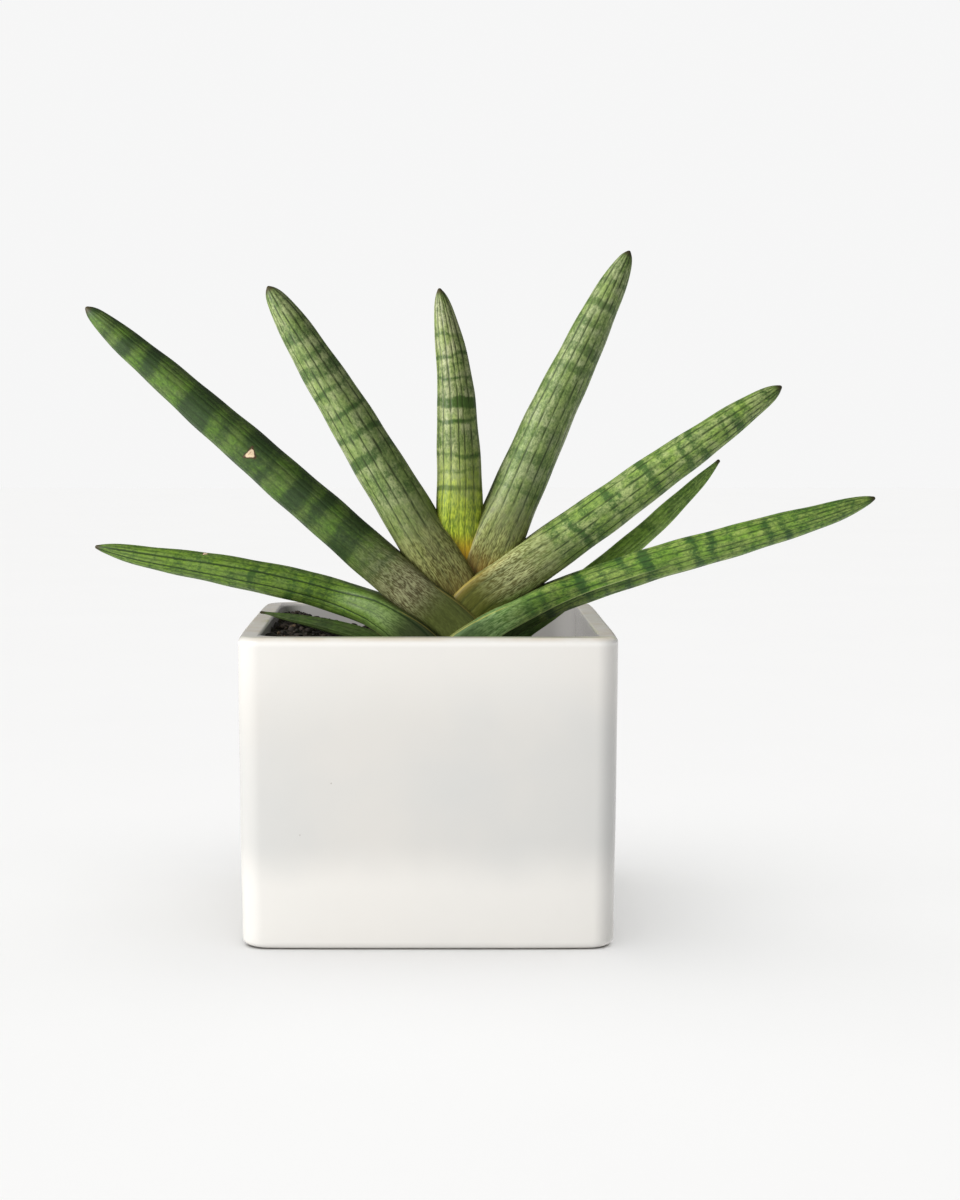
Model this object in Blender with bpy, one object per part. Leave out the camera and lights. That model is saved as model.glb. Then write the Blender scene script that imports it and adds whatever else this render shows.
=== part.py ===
"""Potted snake plant: a fan of round leaves (Dracaena angolensis) in a square glazed pot.

Metres, +Z up, +X to the right, the fan's flat face towards -Y.
The origin is the centre of the pot's flat foot, on the surface that it stands on.
"""

from dataclasses import dataclass
from math import cos, pi, radians, sin

import bmesh
import bpy
from mathutils import Matrix, Vector

MM = 0.001
GAP = 0.3 * MM
SHARP_ANGLE = radians(40.0)

# Pot: a square tub with rounded corners, in millimetres.
POT_HEIGHT = 108.5
POT_HALF_WIDTH = 66.0
POT_TAPER = 0.8
POT_BELLY = 0.5
POT_FLOOR = 8.0
WALL = 7.0
OUTER_CORNER = 8.0
INNER_CORNER = 9.0
FOOT_ROUNDING = 3.0
RIM_ROUNDING = 2.0
LIP_ROUNDING = 1.2
FLOOR_FILLET = 6.0
CORNER_STEPS = 5
SIDE_STEPS = 4
EDGE_STEPS = 4
LIP_STEPS = 3

# Soil: its top falls from the left wall to the right wall.
SOIL_LEFT = 105.0
SOIL_MIDDLE = 99.0
SOIL_RIGHT = 94.0
SOIL_BANK_START = 24.0
SOIL_BANK_RUN = 30.0
SOIL_LUMP = 0.7
SOIL_LUMP_TURN = (0.21, 0.17)
SOIL_RINGS = 8

# Rhizome: the short buried stem that the leaves stand on, narrower at its foot.
STEM_CENTER = (11.0, 0.0)
STEM_RADIUS = 12.0
STEM_FOOT_RADIUS = 8.4
STEM_TOP = 85.0
STEM_BOTTOM = 61.0
STEM_SIDES = 24

# Leaf mesh density. TIP_CROWDING above 1 packs the rings closer towards the tip.
SECTION_POINTS = 18
BLADE_RINGS = 14
SHEATH_RINGS = 7
TIP_CROWDING = 1.6

# Leaf section: round in the blade, and a shell round the next leaf in the sheath.
WING_SQUARENESS = 7.0
BACK_SQUARENESS = 2.4
SHEATH_NARROWING = 0.62
CHANNEL_PRESS = 1.55
TIP_BLUNTNESS = 0.25


@dataclass
class Leaf:
    """One leaf's driving sizes, in millimetres and degrees.

    The centreline goes up from base to neck, then bends into a blade that ends at tip.
    near_bow and far_bow lift the blade at its first and second third.
    side is +1 where the upper face looks to +X, and -1 where it looks to -X.
    """

    name: str
    side: int
    base: tuple
    neck: tuple
    tip: tuple
    near_bow: float
    far_bow: float
    bend: float
    radius: float
    taper: float
    bluntness: float
    sheath_width: float
    sheath_depth: float
    sheath_reach: float
    channel: float = 0.0
    flatness: float = 1.0
    twist: float = 0.0


# Listed from the innermost leaf of the fan to the outermost.
LEAVES = [
    Leaf("leaf_center", -1, (12.0, 0.0, 83.0), (12.5, 0.0, 151.5), (4.3, 2.0, 229.5),
         2.6, 2.9, 40.0, 9.4, 84.0, 0.36, 5.0, 5.4, 78.0),
    Leaf("leaf_tall_right", -1, (14.5, 0.0, 83.0), (13.0, 0.0, 102.5), (74.0, 6.0, 243.5),
         5.1, 2.2, 26.0, 10.2, 106.0, 0.31, 6.8, 6.8, 72.0),
    Leaf("leaf_tall_left", 1, (10.5, 0.0, 83.0), (17.0, 0.0, 107.5), (-58.0, -4.0, 230.0),
         0.0, 1.0, 22.0, 10.3, 100.0, 0.29, 10.5, 8.6, 66.0),
    Leaf("leaf_wide_right", -1, (15.0, 0.0, 83.0), (4.0, 0.0, 105.5), (129.0, -3.0, 194.0),
         -1.4, 0.9, 24.0, 9.2, 98.0, 0.32, 11.0, 10.2, 76.0),
    Leaf("leaf_wide_left", 1, (12.0, 0.0, 81.0), (19.0, 0.0, 96.5), (-124.0, -6.0, 222.5),
         0.3, 0.3, 24.0, 8.4, 104.0, 0.28, 15.0, 11.8, 75.0),
    Leaf("leaf_low_right", -1, (9.0, 0.0, 80.0), (6.0, 0.0, 94.0), (163.0, -8.0, 153.5),
         14.3, 0.8, 26.0, 6.3, 52.0, 0.34, 12.0, 14.0, 72.0),
    Leaf("leaf_low_left", 1, (0.0, 0.0, 81.0), (6.0, 0.0, 98.0), (-123.0, 2.0, 135.0),
         14.3, 3.0, 30.0, 6.5, 66.0, 0.36, 11.0, 15.8, 59.0),
    Leaf("leaf_back_right", -1, (20.0, 12.0, 83.0), (20.0, 12.0, 91.5), (111.5, 30.0, 166.0),
         -2.5, -5.5, 20.0, 4.4, 34.0, 0.45, 4.6, 4.0, 30.0, 0.0, 0.5),
    Leaf("leaf_young_left", 1, (-5.0, -6.0, 89.0), (-4.0, -6.0, 96.5), (-62.0, 4.0, 110.5),
         3.4, 2.6, 20.0, 4.0, 30.0, 0.65, 4.0, 5.0, 22.0, 0.75, 1.0, -25.0),
]


# ---------------------------------------------------------------- general helpers

def clear_scene():
    for thing in list(bpy.data.objects):
        bpy.data.objects.remove(thing, do_unlink=True)


def make_collection(name):
    collection = bpy.data.collections.new(name)
    bpy.context.scene.collection.children.link(collection)
    return collection


def make_material(name, color, roughness, metallic=0.0):
    material = bpy.data.materials.new(name)
    material.use_nodes = True
    shader = material.node_tree.nodes["Principled BSDF"]
    shader.inputs["Base Color"].default_value = (*color, 1.0)
    shader.inputs["Roughness"].default_value = roughness
    shader.inputs["Metallic"].default_value = metallic
    return material


def smoothstep(value):
    value = min(1.0, max(0.0, value))
    return value * value * (3.0 - 2.0 * value)


def mix(start, end, weight):
    return start + (end - start) * weight


def loft(name, rings, collection, material=None):
    """Skin a list of rings of points, given in millimetres, and cap both ends."""
    bm = bmesh.new()
    rows = [[bm.verts.new(point * MM) for point in ring] for ring in rings]
    count = len(rows[0])
    for lower, upper in zip(rows, rows[1:]):
        for index in range(count):
            after = (index + 1) % count
            bm.faces.new((lower[index], lower[after], upper[after], upper[index]))
    bm.faces.new(list(reversed(rows[0])))
    bm.faces.new(rows[-1])
    bmesh.ops.triangulate(bm, faces=bm.faces)
    bmesh.ops.recalc_face_normals(bm, faces=bm.faces)
    mesh = bpy.data.meshes.new(name)
    bm.to_mesh(mesh)
    bm.free()
    mesh.shade_smooth()
    mesh.set_sharp_from_angle(angle=SHARP_ANGLE)
    thing = bpy.data.objects.new(name, mesh)
    collection.objects.link(thing)
    if material:
        mesh.materials.append(material)
    return thing


def mark_cutter(thing):
    thing.hide_render = True
    thing.display_type = "WIRE"


def cut(thing, cutter):
    modifier = thing.modifiers.new("cut_" + cutter.name, "BOOLEAN")
    modifier.operation = "DIFFERENCE"
    modifier.object = cutter
    modifier.use_self = True


def keep_largest_piece(bm):
    """Delete every loose scrap that the cuts left and keep the body with the most faces."""
    unseen = set(bm.faces)
    pieces = []
    while unseen:
        stack = [unseen.pop()]
        piece = list(stack)
        while stack:
            joined = [edge for edge in stack.pop().edges if len(edge.link_faces) == 2]
            for edge in joined:
                for face in edge.link_faces:
                    if face in unseen:
                        unseen.discard(face)
                        piece.append(face)
                        stack.append(face)
        pieces.append(piece)
    keep = set(max(pieces, key=len))
    scraps = [face for face in bm.faces if face not in keep]
    bmesh.ops.delete(bm, geom=scraps, context="FACES")


def apply_cuts(thing):
    """Replace the object's mesh by its cut mesh, as one body."""
    evaluated = thing.evaluated_get(bpy.context.evaluated_depsgraph_get())
    mesh = bpy.data.meshes.new_from_object(evaluated)
    bm = bmesh.new()
    bm.from_mesh(mesh)
    keep_largest_piece(bm)
    bmesh.ops.triangulate(bm, faces=bm.faces)
    bm.to_mesh(mesh)
    bm.free()
    mesh.shade_smooth()
    mesh.set_sharp_from_angle(angle=SHARP_ANGLE)
    thing.modifiers.clear()
    thing.data = mesh


# ---------------------------------------------------------------- pot

def square_ring(half, corner, height, belly=0.0):
    """Rounded square at one height, with slightly swollen sides."""
    points = []
    straight = half - corner
    for quarter in range(4):
        turn = Matrix.Rotation(quarter * pi / 2, 3, "Z")
        for step in range(CORNER_STEPS + 1):
            angle = step / CORNER_STEPS * pi / 2
            point = Vector((straight + corner * cos(angle), straight + corner * sin(angle), height))
            points.append(turn @ point)
        for step in range(1, SIDE_STEPS):
            along = 1.0 - 2.0 * step / SIDE_STEPS
            swell = belly * (1.0 - along * along)
            points.append(turn @ Vector((straight * along, half + swell, height)))
    return points


def arc(center, radius, start, end, steps):
    """Points (half width, height) on an arc, with angles in degrees."""
    for step in range(steps + 1):
        angle = radians(mix(start, end, step / steps))
        yield center[0] + radius * cos(angle), center[1] + radius * sin(angle)


def outer_half_width(height):
    return POT_HALF_WIDTH - POT_BELLY - POT_TAPER * (1.0 - height / POT_HEIGHT) ** 2


def inner_half_width():
    return POT_HALF_WIDTH - POT_BELLY - WALL


def pot_rings():
    rings = []
    foot_center = (outer_half_width(FOOT_ROUNDING) - FOOT_ROUNDING, FOOT_ROUNDING)
    for half, height in arc(foot_center, FOOT_ROUNDING, -90, 0, EDGE_STEPS):
        rings.append(square_ring(half, OUTER_CORNER, height, POT_BELLY))
    for share in (0.25, 0.5, 0.75):
        height = POT_HEIGHT * share
        rings.append(square_ring(outer_half_width(height), OUTER_CORNER, height, POT_BELLY))
    rim_center = (outer_half_width(POT_HEIGHT) - RIM_ROUNDING, POT_HEIGHT - RIM_ROUNDING)
    for half, height in arc(rim_center, RIM_ROUNDING, 0, 90, EDGE_STEPS):
        rings.append(square_ring(half, OUTER_CORNER, height, POT_BELLY))
    inner = inner_half_width()
    lip_center = (inner + LIP_ROUNDING, POT_HEIGHT - LIP_ROUNDING)
    for half, height in arc(lip_center, LIP_ROUNDING, 90, 180, LIP_STEPS):
        rings.append(square_ring(half, INNER_CORNER, height))
    floor_center = (inner - FLOOR_FILLET, POT_FLOOR + FLOOR_FILLET)
    for half, height in arc(floor_center, FLOOR_FILLET, 0, -90, LIP_STEPS):
        rings.append(square_ring(half, INNER_CORNER, height))
    return rings


def make_pot(collection):
    glaze = make_material("white_glaze", (0.86, 0.85, 0.83), 0.12)
    return loft("pot", pot_rings(), collection, glaze)


# ---------------------------------------------------------------- soil

def soil_height(point):
    """Top of the soil above a point of the pot's plan."""
    left = smoothstep((-point.x - SOIL_BANK_START) / SOIL_BANK_RUN)
    right = smoothstep((point.x - SOIL_BANK_START) / SOIL_BANK_RUN)
    height = SOIL_MIDDLE + (SOIL_LEFT - SOIL_MIDDLE) * left + (SOIL_RIGHT - SOIL_MIDDLE) * right
    turn_x, turn_y = SOIL_LUMP_TURN
    return height + SOIL_LUMP * sin(point.x * turn_x + 1.0) * sin(point.y * turn_y)


def make_soil(collection):
    dirt = make_material("potting_mix", (0.045, 0.032, 0.024), 0.95)
    gap = GAP / MM
    half = inner_half_width() - gap
    floor = POT_FLOOR + gap
    rings = []
    floor_center = (half - FLOOR_FILLET, floor + FLOOR_FILLET)
    for ring_half, height in arc(floor_center, FLOOR_FILLET, -90, 0, LIP_STEPS):
        rings.append(square_ring(ring_half, INNER_CORNER, height))
    for step in range(SOIL_RINGS):
        share = 1.0 - step / SOIL_RINGS
        ring = square_ring(half * share, INNER_CORNER * share, 0.0)
        for point in ring:
            point.z = soil_height(point)
        rings.append(ring)
    return loft("soil", rings, collection, dirt)


# ---------------------------------------------------------------- leaves

def bezier(points, share):
    """Point on a Bezier curve of any order."""
    while len(points) > 1:
        points = [first.lerp(second, share) for first, second in zip(points, points[1:])]
    return points[0]


def leaf_path(leaf):
    """Centreline points from base to tip, closer together near the tip."""
    base, neck, tip = Vector(leaf.base), Vector(leaf.neck), Vector(leaf.tip)
    chord = tip - neck
    lift = Vector((-chord.z, 0.0, chord.x)).normalized()
    if lift.z < 0.0:
        lift.negate()
    near = neck + chord / 3.0 + lift * leaf.near_bow
    far = neck + chord * (2.0 / 3.0) + lift * leaf.far_bow
    joint_share = leaf.bend / chord.length
    joint = bezier([neck, near, far, tip], joint_share)
    sheath = [bezier([base, neck, joint], step / SHEATH_RINGS) for step in range(SHEATH_RINGS)]
    blade = []
    for step in range(BLADE_RINGS):
        share = 1.0 - (1.0 - step / (BLADE_RINGS - 1)) ** TIP_CROWDING
        blade.append(bezier([neck, near, far, tip], mix(joint_share, 1.0, share)))
    return sheath + blade


def blade_radius(leaf, to_tip):
    """Radius at a distance from the tip: a blunt point that fills out to the full size."""
    share = to_tip / leaf.taper
    return leaf.radius * (share / (1.0 + share ** 4) ** 0.25) ** leaf.bluntness


def section_point(angle, width, depth, clasp, channel):
    """Point of a leaf's section: across its upper and lower faces, and across its depth.

    The upper face gets squarer where the leaf clasps the next one, which leaves two wings.
    """
    squareness = WING_SQUARENESS if sin(angle) > 0.0 else BACK_SQUARENESS
    power = 2.0 / mix(2.0, squareness, clasp)
    across = abs(sin(angle)) ** power * (1.0 if sin(angle) > 0.0 else -1.0)
    sideways = abs(cos(angle)) ** power * (1.0 if cos(angle) > 0.0 else -1.0)
    if across > 0.0:
        across *= 1.0 - CHANNEL_PRESS * channel
    return across * width, sideways * depth


def leaf_rings(leaf, grow=0.0):
    """Sections of a leaf; the shapes that cut its neighbours are grown and have no channel."""
    path = leaf_path(leaf)
    steps = [(after - before).length for before, after in zip(path, path[1:])]
    length = sum(steps)
    twist = radians(leaf.twist)
    rings = []
    travelled = 0.0
    for index, center in enumerate(path):
        before = path[max(index - 1, 0)]
        after = path[min(index + 1, len(path) - 1)]
        tangent = (after - before).normalized()
        back = Vector((0.0, 1.0, 0.0))
        back = (back - tangent * back.dot(tangent)).normalized()
        upper = tangent.cross(back) * -leaf.side
        radius = blade_radius(leaf, max(length - travelled, TIP_BLUNTNESS))
        narrow = smoothstep(1.0 - travelled / (SHEATH_NARROWING * leaf.sheath_reach))
        clasp = smoothstep(2.0 * (1.0 - travelled / leaf.sheath_reach))
        width = mix(radius, leaf.sheath_width, narrow)
        depth = mix(radius * leaf.flatness, leaf.sheath_depth, clasp)
        channel = 0.0 if grow else leaf.channel * (1.0 - narrow)
        ring = []
        for step in range(SECTION_POINTS):
            angle = step / SECTION_POINTS * 2.0 * pi
            across, sideways = section_point(angle, width, depth, clasp, channel)
            across += grow * sin(angle)
            sideways += grow * cos(angle)
            turned_across = across * cos(twist) - sideways * sin(twist)
            turned_sideways = across * sin(twist) + sideways * cos(twist)
            ring.append(center + upper * turned_across + back * turned_sideways)
        rings.append(ring)
        if index < len(steps):
            travelled += steps[index]
    if grow > 0.0:
        end = (path[-1] - path[-2]).normalized() * grow
        start = (path[0] - path[1]).normalized() * grow
        rings[-1] = [point + end for point in rings[-1]]
        rings[0] = [point + start for point in rings[0]]
    return rings


def make_leaves(collection, cutters):
    """Each leaf, cut by the ones that it clasps; the grown shapes are kept as cutters."""
    inner = []
    leaves = []
    for leaf in LEAVES:
        flesh = make_material(leaf.name + "_flesh", (0.16, 0.26, 0.09), 0.42)
        thing = loft(leaf.name, leaf_rings(leaf), collection, flesh)
        for cutter in inner:
            cut(thing, cutter)
        grown = loft(leaf.name + "_space", leaf_rings(leaf, GAP / MM), cutters)
        mark_cutter(grown)
        inner.append(grown)
        leaves.append(thing)
    return leaves, inner


def make_rhizome(collection, grow=0.0):
    """The short buried stem, a plug below the leaf bases."""
    name = "rhizome_space" if grow else "rhizome"
    foot = (STEM_FOOT_RADIUS + grow) * MM
    head = (STEM_RADIUS + grow) * MM
    depth = (STEM_TOP - STEM_BOTTOM + 2.0 * grow) * MM
    bm = bmesh.new()
    bmesh.ops.create_cone(bm, cap_ends=True, segments=STEM_SIDES, radius1=foot, radius2=head, depth=depth)
    middle = Vector((*STEM_CENTER, (STEM_TOP + STEM_BOTTOM) / 2.0)) * MM
    bmesh.ops.translate(bm, verts=bm.verts, vec=middle)
    mesh = bpy.data.meshes.new(name)
    bm.to_mesh(mesh)
    bm.free()
    thing = bpy.data.objects.new(name, mesh)
    collection.objects.link(thing)
    return thing


def main():
    clear_scene()
    parts = make_collection("potted_snake_plant")
    cutters = make_collection("cutters")
    make_pot(parts)
    soil = make_soil(parts)
    leaves, spaces = make_leaves(parts, cutters)
    rhizome = make_rhizome(parts)
    rhizome.data.materials.append(make_material("rhizome_bark", (0.42, 0.27, 0.14), 0.8))
    rhizome_space = make_rhizome(cutters, GAP / MM)
    mark_cutter(rhizome_space)
    for leaf in leaves:
        cut(leaf, rhizome_space)
    for space in spaces + [rhizome_space]:
        cut(soil, space)
    for thing in leaves + [soil]:
        apply_cuts(thing)


main()
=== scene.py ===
"""Looks of the potted snake plant: fine leaf, pot and soil meshes and their materials."""

from dataclasses import dataclass
from math import pi, radians

import bmesh
import bpy
import numpy as np
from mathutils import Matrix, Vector, noise
from mathutils.bvhtree import BVHTree


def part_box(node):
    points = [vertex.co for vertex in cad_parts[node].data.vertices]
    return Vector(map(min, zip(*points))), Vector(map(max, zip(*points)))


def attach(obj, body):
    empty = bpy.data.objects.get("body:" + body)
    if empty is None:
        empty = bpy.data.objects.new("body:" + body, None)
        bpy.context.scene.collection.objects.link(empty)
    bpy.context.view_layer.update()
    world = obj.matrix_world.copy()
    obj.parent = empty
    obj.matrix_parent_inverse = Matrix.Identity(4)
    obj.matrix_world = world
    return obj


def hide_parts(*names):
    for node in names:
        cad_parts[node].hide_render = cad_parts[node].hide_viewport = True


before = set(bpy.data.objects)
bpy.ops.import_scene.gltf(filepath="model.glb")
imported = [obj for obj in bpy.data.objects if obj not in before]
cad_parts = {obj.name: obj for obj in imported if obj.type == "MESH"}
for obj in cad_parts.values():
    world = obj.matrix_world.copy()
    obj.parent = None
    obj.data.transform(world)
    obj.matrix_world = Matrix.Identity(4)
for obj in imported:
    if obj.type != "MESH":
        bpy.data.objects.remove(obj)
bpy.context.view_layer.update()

MM = 0.001


# ---- leaves: driving sizes

@dataclass
class Leaf:
    """One leaf: the CAD's driving sizes in millimetres and degrees, then its markings."""

    name: str
    side: int
    base: tuple
    neck: tuple
    tip: tuple
    near_bow: float
    far_bow: float
    bend: float
    radius: float
    taper: float
    bluntness: float
    sheath_width: float
    sheath_depth: float
    sheath_reach: float
    channel: float = 0.0
    flatness: float = 1.0
    twist: float = 0.0
    # Markings: colours are sRGB, 0 to 255; distances are millimetres from the tip.
    pale: tuple = (150, 165, 115)
    fresh: tuple = (134, 158, 88)
    dark: tuple = (78, 108, 58)
    line: tuple = (50, 66, 34)
    base_color: tuple = (120, 112, 66)
    base_streak: tuple = (150, 158, 108)
    softness: float = 1.3
    raggedness: float = 1.0
    base_from: float = 95.0
    base_to: float = 135.0
    root_color: tuple = (110, 95, 50)
    root_from: float = 130.0
    root_to: float = 150.0
    margin_color: tuple = (205, 190, 105)
    margin: float = 0.4
    glow_color: tuple = (190, 160, 50)
    glow_width: float = 2.0
    glow: float = 0.0
    mottle: float = 0.75
    band_gain: float = 0.92
    lines: int = 16
    line_gain: float = 1.0
    bands: tuple = ()
    scars: tuple = ()
    strong_lines: tuple = ()
    ridge: float = 0.0
    ridge_from: float = 0.0


LEAVES = [
    Leaf("leaf_center", -1, (12.0, 0.0, 83.0), (12.5, 0.0, 151.5), (4.3, 2.0, 229.5),
         2.6, 2.9, 40.0, 9.4, 84.0, 0.36, 5.0, 5.4, 78.0,
         pale=(164, 170, 126), fresh=(140, 156, 92), dark=(62, 88, 34), line=(50, 62, 28),
         base_color=(122, 152, 30), base_streak=(194, 210, 60), base_from=60.0, base_to=90.0,
         root_color=(226, 178, 40), root_from=88.0, root_to=99.0,
         raggedness=0.6, mottle=0.7, band_gain=1.0,
         bands=((16.6, 0.5, 0.7), (23.7, 0.7, 1.0), (28.5, 0.6, 0.6), (31.9, 0.6, 0.9),
                (37.0, 0.8, 0.5), (41.5, 2.0, 1.1), (47.3, 0.6, 1.1), (55.0, 2.5, 0.45),
                (60.5, 0.9, 0.8), (66.0, 0.7, 0.6), (73.5, 0.9, 1.0), (79.5, 0.8, 0.5),
                (85.0, 1.5, 0.4))),
    Leaf("leaf_tall_right", -1, (14.5, 0.0, 83.0), (13.0, 0.0, 102.5), (74.0, 6.0, 243.5),
         5.1, 2.2, 26.0, 10.2, 106.0, 0.31, 6.8, 6.8, 72.0,
         pale=(156, 168, 120), fresh=(138, 158, 92), dark=(70, 96, 44), line=(52, 66, 32),
         base_color=(94, 90, 38), base_streak=(164, 170, 104), base_from=98.0, base_to=124.0,
         root_color=(138, 104, 38), root_from=118.0, root_to=134.0,
         glow_color=(206, 158, 44), glow_width=2.6, glow=0.7,
         raggedness=0.8, band_gain=0.8,
         bands=((8.0, 0.8, 0.5), (12.3, 1.0, 0.8), (22.5, 1.4, 1.0), (29.0, 1.6, 0.6),
                (34.0, 0.8, 0.3), (40.0, 2.0, 0.8), (46.5, 1.8, 0.7), (57.0, 3.0, 0.5),
                (66.0, 2.0, 0.35), (74.0, 3.0, 0.45), (85.0, 2.2, 0.6), (96.0, 0.9, 0.8),
                (101.0, 1.2, 0.3))),
    Leaf("leaf_tall_left", 1, (10.5, 0.0, 83.0), (17.0, 0.0, 107.5), (-58.0, -4.0, 230.0),
         0.0, 1.0, 22.0, 10.3, 100.0, 0.29, 10.5, 8.6, 66.0,
         pale=(150, 162, 112), fresh=(128, 148, 84), dark=(64, 90, 42), line=(46, 58, 28),
         base_color=(84, 79, 34), base_streak=(147, 149, 90), base_from=92.0, base_to=120.0,
         root_color=(112, 100, 46), root_from=118.0, root_to=134.0,
         raggedness=0.8, mottle=0.66, band_gain=0.95,
         bands=((7.3, 0.7, 0.5), (15.0, 1.5, 0.5), (21.0, 2.5, 0.6), (28.0, 1.2, 0.6),
                (34.5, 2.6, 0.75), (43.0, 1.0, 0.8), (51.5, 0.9, 0.95), (62.0, 1.3, 0.9),
                (71.0, 2.3, 0.85), (79.0, 1.5, 0.4), (88.0, 2.5, 0.4), (100.0, 3.0, 0.35))),
    Leaf("leaf_wide_right", -1, (15.0, 0.0, 83.0), (4.0, 0.0, 105.5), (129.0, -3.0, 194.0),
         -1.4, 0.9, 24.0, 9.2, 98.0, 0.32, 11.0, 10.2, 76.0,
         pale=(162, 178, 114), fresh=(140, 168, 80), dark=(62, 94, 40), line=(46, 62, 28),
         base_color=(114, 112, 64), base_streak=(184, 190, 134), base_from=98.0, base_to=116.0,
         root_color=(96, 100, 40), root_from=120.0, root_to=136.0,
         margin_color=(196, 176, 92), margin=0.3,
         glow_color=(150, 112, 36), glow_width=4.0, glow=0.3,
         softness=1.9, mottle=0.66, band_gain=0.95,
         bands=((6.6, 1.0, 0.6), (14.5, 1.5, 0.6), (21.0, 2.0, 0.7), (25.0, 1.2, 0.5),
                (36.5, 1.6, 0.9), (42.8, 1.5, 0.7), (49.5, 1.3, 0.55), (57.5, 1.8, 0.9),
                (65.0, 1.5, 0.5), (70.0, 1.0, 0.4), (75.0, 1.6, 0.7), (84.0, 1.8, 0.6),
                (90.5, 1.6, 0.85), (99.0, 2.5, 0.45), (108.0, 2.0, 0.3))),
    Leaf("leaf_wide_left", 1, (12.0, 0.0, 81.0), (19.0, 0.0, 96.5), (-124.0, -6.0, 222.5),
         0.3, 0.3, 24.0, 8.4, 104.0, 0.28, 15.0, 11.8, 75.0,
         pale=(92, 114, 56), fresh=(88, 120, 44), dark=(42, 62, 34), line=(36, 50, 26),
         base_color=(84, 78, 50), base_streak=(140, 142, 104), base_from=136.0, base_to=150.0,
         root_color=(92, 102, 50), root_from=156.0, root_to=170.0,
         softness=5.0, raggedness=0.45, mottle=0.5, band_gain=0.88, line_gain=0.5,
         scars=((79.0, 0.768, 1.25),),
         bands=((1.5, 2.5, 1.0), (10.5, 1.8, 0.8), (19.8, 2.8, 0.95), (30.5, 3.0, 1.0),
                (38.5, 1.2, 0.35), (54.5, 6.5, 1.0), (66.0, 2.5, 0.6), (79.0, 6.0, 0.8),
                (87.0, 2.0, 0.9), (100.5, 4.0, 0.9), (111.3, 2.6, 0.95), (126.0, 5.5, 0.9),
                (137.0, 2.0, 0.4), (142.6, 1.0, 1.0))),
    Leaf("leaf_low_right", -1, (9.0, 0.0, 80.0), (6.0, 0.0, 94.0), (163.0, -8.0, 153.5),
         14.3, 0.8, 26.0, 6.3, 52.0, 0.34, 12.0, 14.0, 72.0,
         pale=(150, 174, 88), fresh=(122, 160, 60), dark=(50, 86, 40), line=(40, 60, 30),
         base_color=(84, 118, 62), base_streak=(136, 164, 104), base_from=130.0, base_to=142.0,
         root_color=(78, 102, 60), root_from=140.0, root_to=156.0,
         softness=3.0, raggedness=0.8, mottle=0.62, band_gain=0.88, line_gain=0.8, ridge=0.81,
         ridge_from=72.0,
         bands=((18.0, 12.0, 0.42), (12.0, 1.5, 0.6), (16.0, 0.8, 0.5), (21.5, 1.0, 0.5),
                (25.5, 1.2, 0.55), (33.0, 1.4, 0.8), (40.5, 1.5, 0.7), (45.5, 1.0, 0.5),
                (50.0, 1.0, 0.6), (54.5, 1.0, 0.5), (60.5, 1.6, 0.85), (68.0, 1.8, 0.95),
                (74.5, 0.8, 0.5), (85.5, 2.3, 0.9), (95.0, 1.6, 0.8), (102.5, 1.2, 0.6),
                (111.0, 1.8, 0.9), (118.0, 1.2, 0.6), (125.0, 1.6, 0.85), (132.0, 2.0, 0.6))),
    Leaf("leaf_low_left", 1, (0.0, 0.0, 81.0), (6.0, 0.0, 98.0), (-123.0, 2.0, 135.0),
         14.3, 3.0, 30.0, 6.5, 66.0, 0.36, 11.0, 15.8, 59.0,
         pale=(110, 136, 62), fresh=(112, 144, 48), dark=(56, 86, 34), line=(34, 54, 22),
         base_color=(86, 112, 52), base_streak=(114, 138, 76), base_from=98.0, base_to=112.0,
         root_color=(62, 74, 42), root_from=108.0, root_to=122.0,
         softness=1.8, mottle=0.7, band_gain=1.0, line_gain=0.6,
         scars=((40.0, 0.56, 0.7),), strong_lines=(0.69, 0.80),
         bands=((14.0, 1.0, 0.3), (22.0, 1.2, 0.35), (31.5, 1.4, 0.45), (38.0, 1.0, 0.35),
                (44.0, 1.1, 0.35), (50.5, 1.6, 0.5), (59.0, 1.6, 0.7), (65.0, 1.0, 0.5),
                (73.0, 1.8, 0.75), (81.0, 1.4, 0.5), (87.0, 1.2, 0.45), (96.0, 1.5, 0.4),
                (105.0, 2.0, 0.4))),
    Leaf("leaf_back_right", -1, (20.0, 12.0, 83.0), (20.0, 12.0, 91.5), (111.5, 30.0, 166.0),
         -2.5, -5.5, 20.0, 4.4, 34.0, 0.45, 4.6, 4.0, 30.0, 0.0, 0.5,
         pale=(156, 186, 98), fresh=(146, 184, 78), dark=(80, 112, 52), line=(46, 64, 30),
         base_color=(74, 108, 48), base_streak=(100, 134, 66), base_from=80.0, base_to=100.0,
         root_color=(80, 96, 50), root_from=100.0, root_to=115.0,
         mottle=0.5, lines=12, line_gain=0.5,
         bands=((12.0, 15.0, 0.5), (18.0, 2.0, 0.6), (27.0, 1.5, 0.5), (38.0, 2.0, 0.5),
                (45.0, 1.0, 0.4))),
    Leaf("leaf_young_left", 1, (-5.0, -6.0, 89.0), (-4.0, -6.0, 96.5), (-62.0, 4.0, 110.5),
         3.4, 2.6, 20.0, 4.0, 30.0, 0.65, 4.0, 5.0, 22.0, 0.75, 1.0, -25.0,
         pale=(88, 106, 60), fresh=(84, 110, 50), dark=(50, 70, 38), line=(34, 48, 26),
         base_color=(66, 84, 44), base_streak=(88, 106, 60), base_from=45.0, base_to=60.0,
         root_color=(80, 84, 50), root_from=60.0, root_to=70.0,
         mottle=0.5, lines=12, line_gain=0.4,
         bands=((12.0, 2.0, 0.4), (24.0, 3.0, 0.5))),
]

WING_SQUARENESS = 7.0
BACK_SQUARENESS = 2.4
SHEATH_NARROWING = 0.62
CHANNEL_PRESS = 1.55

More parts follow.
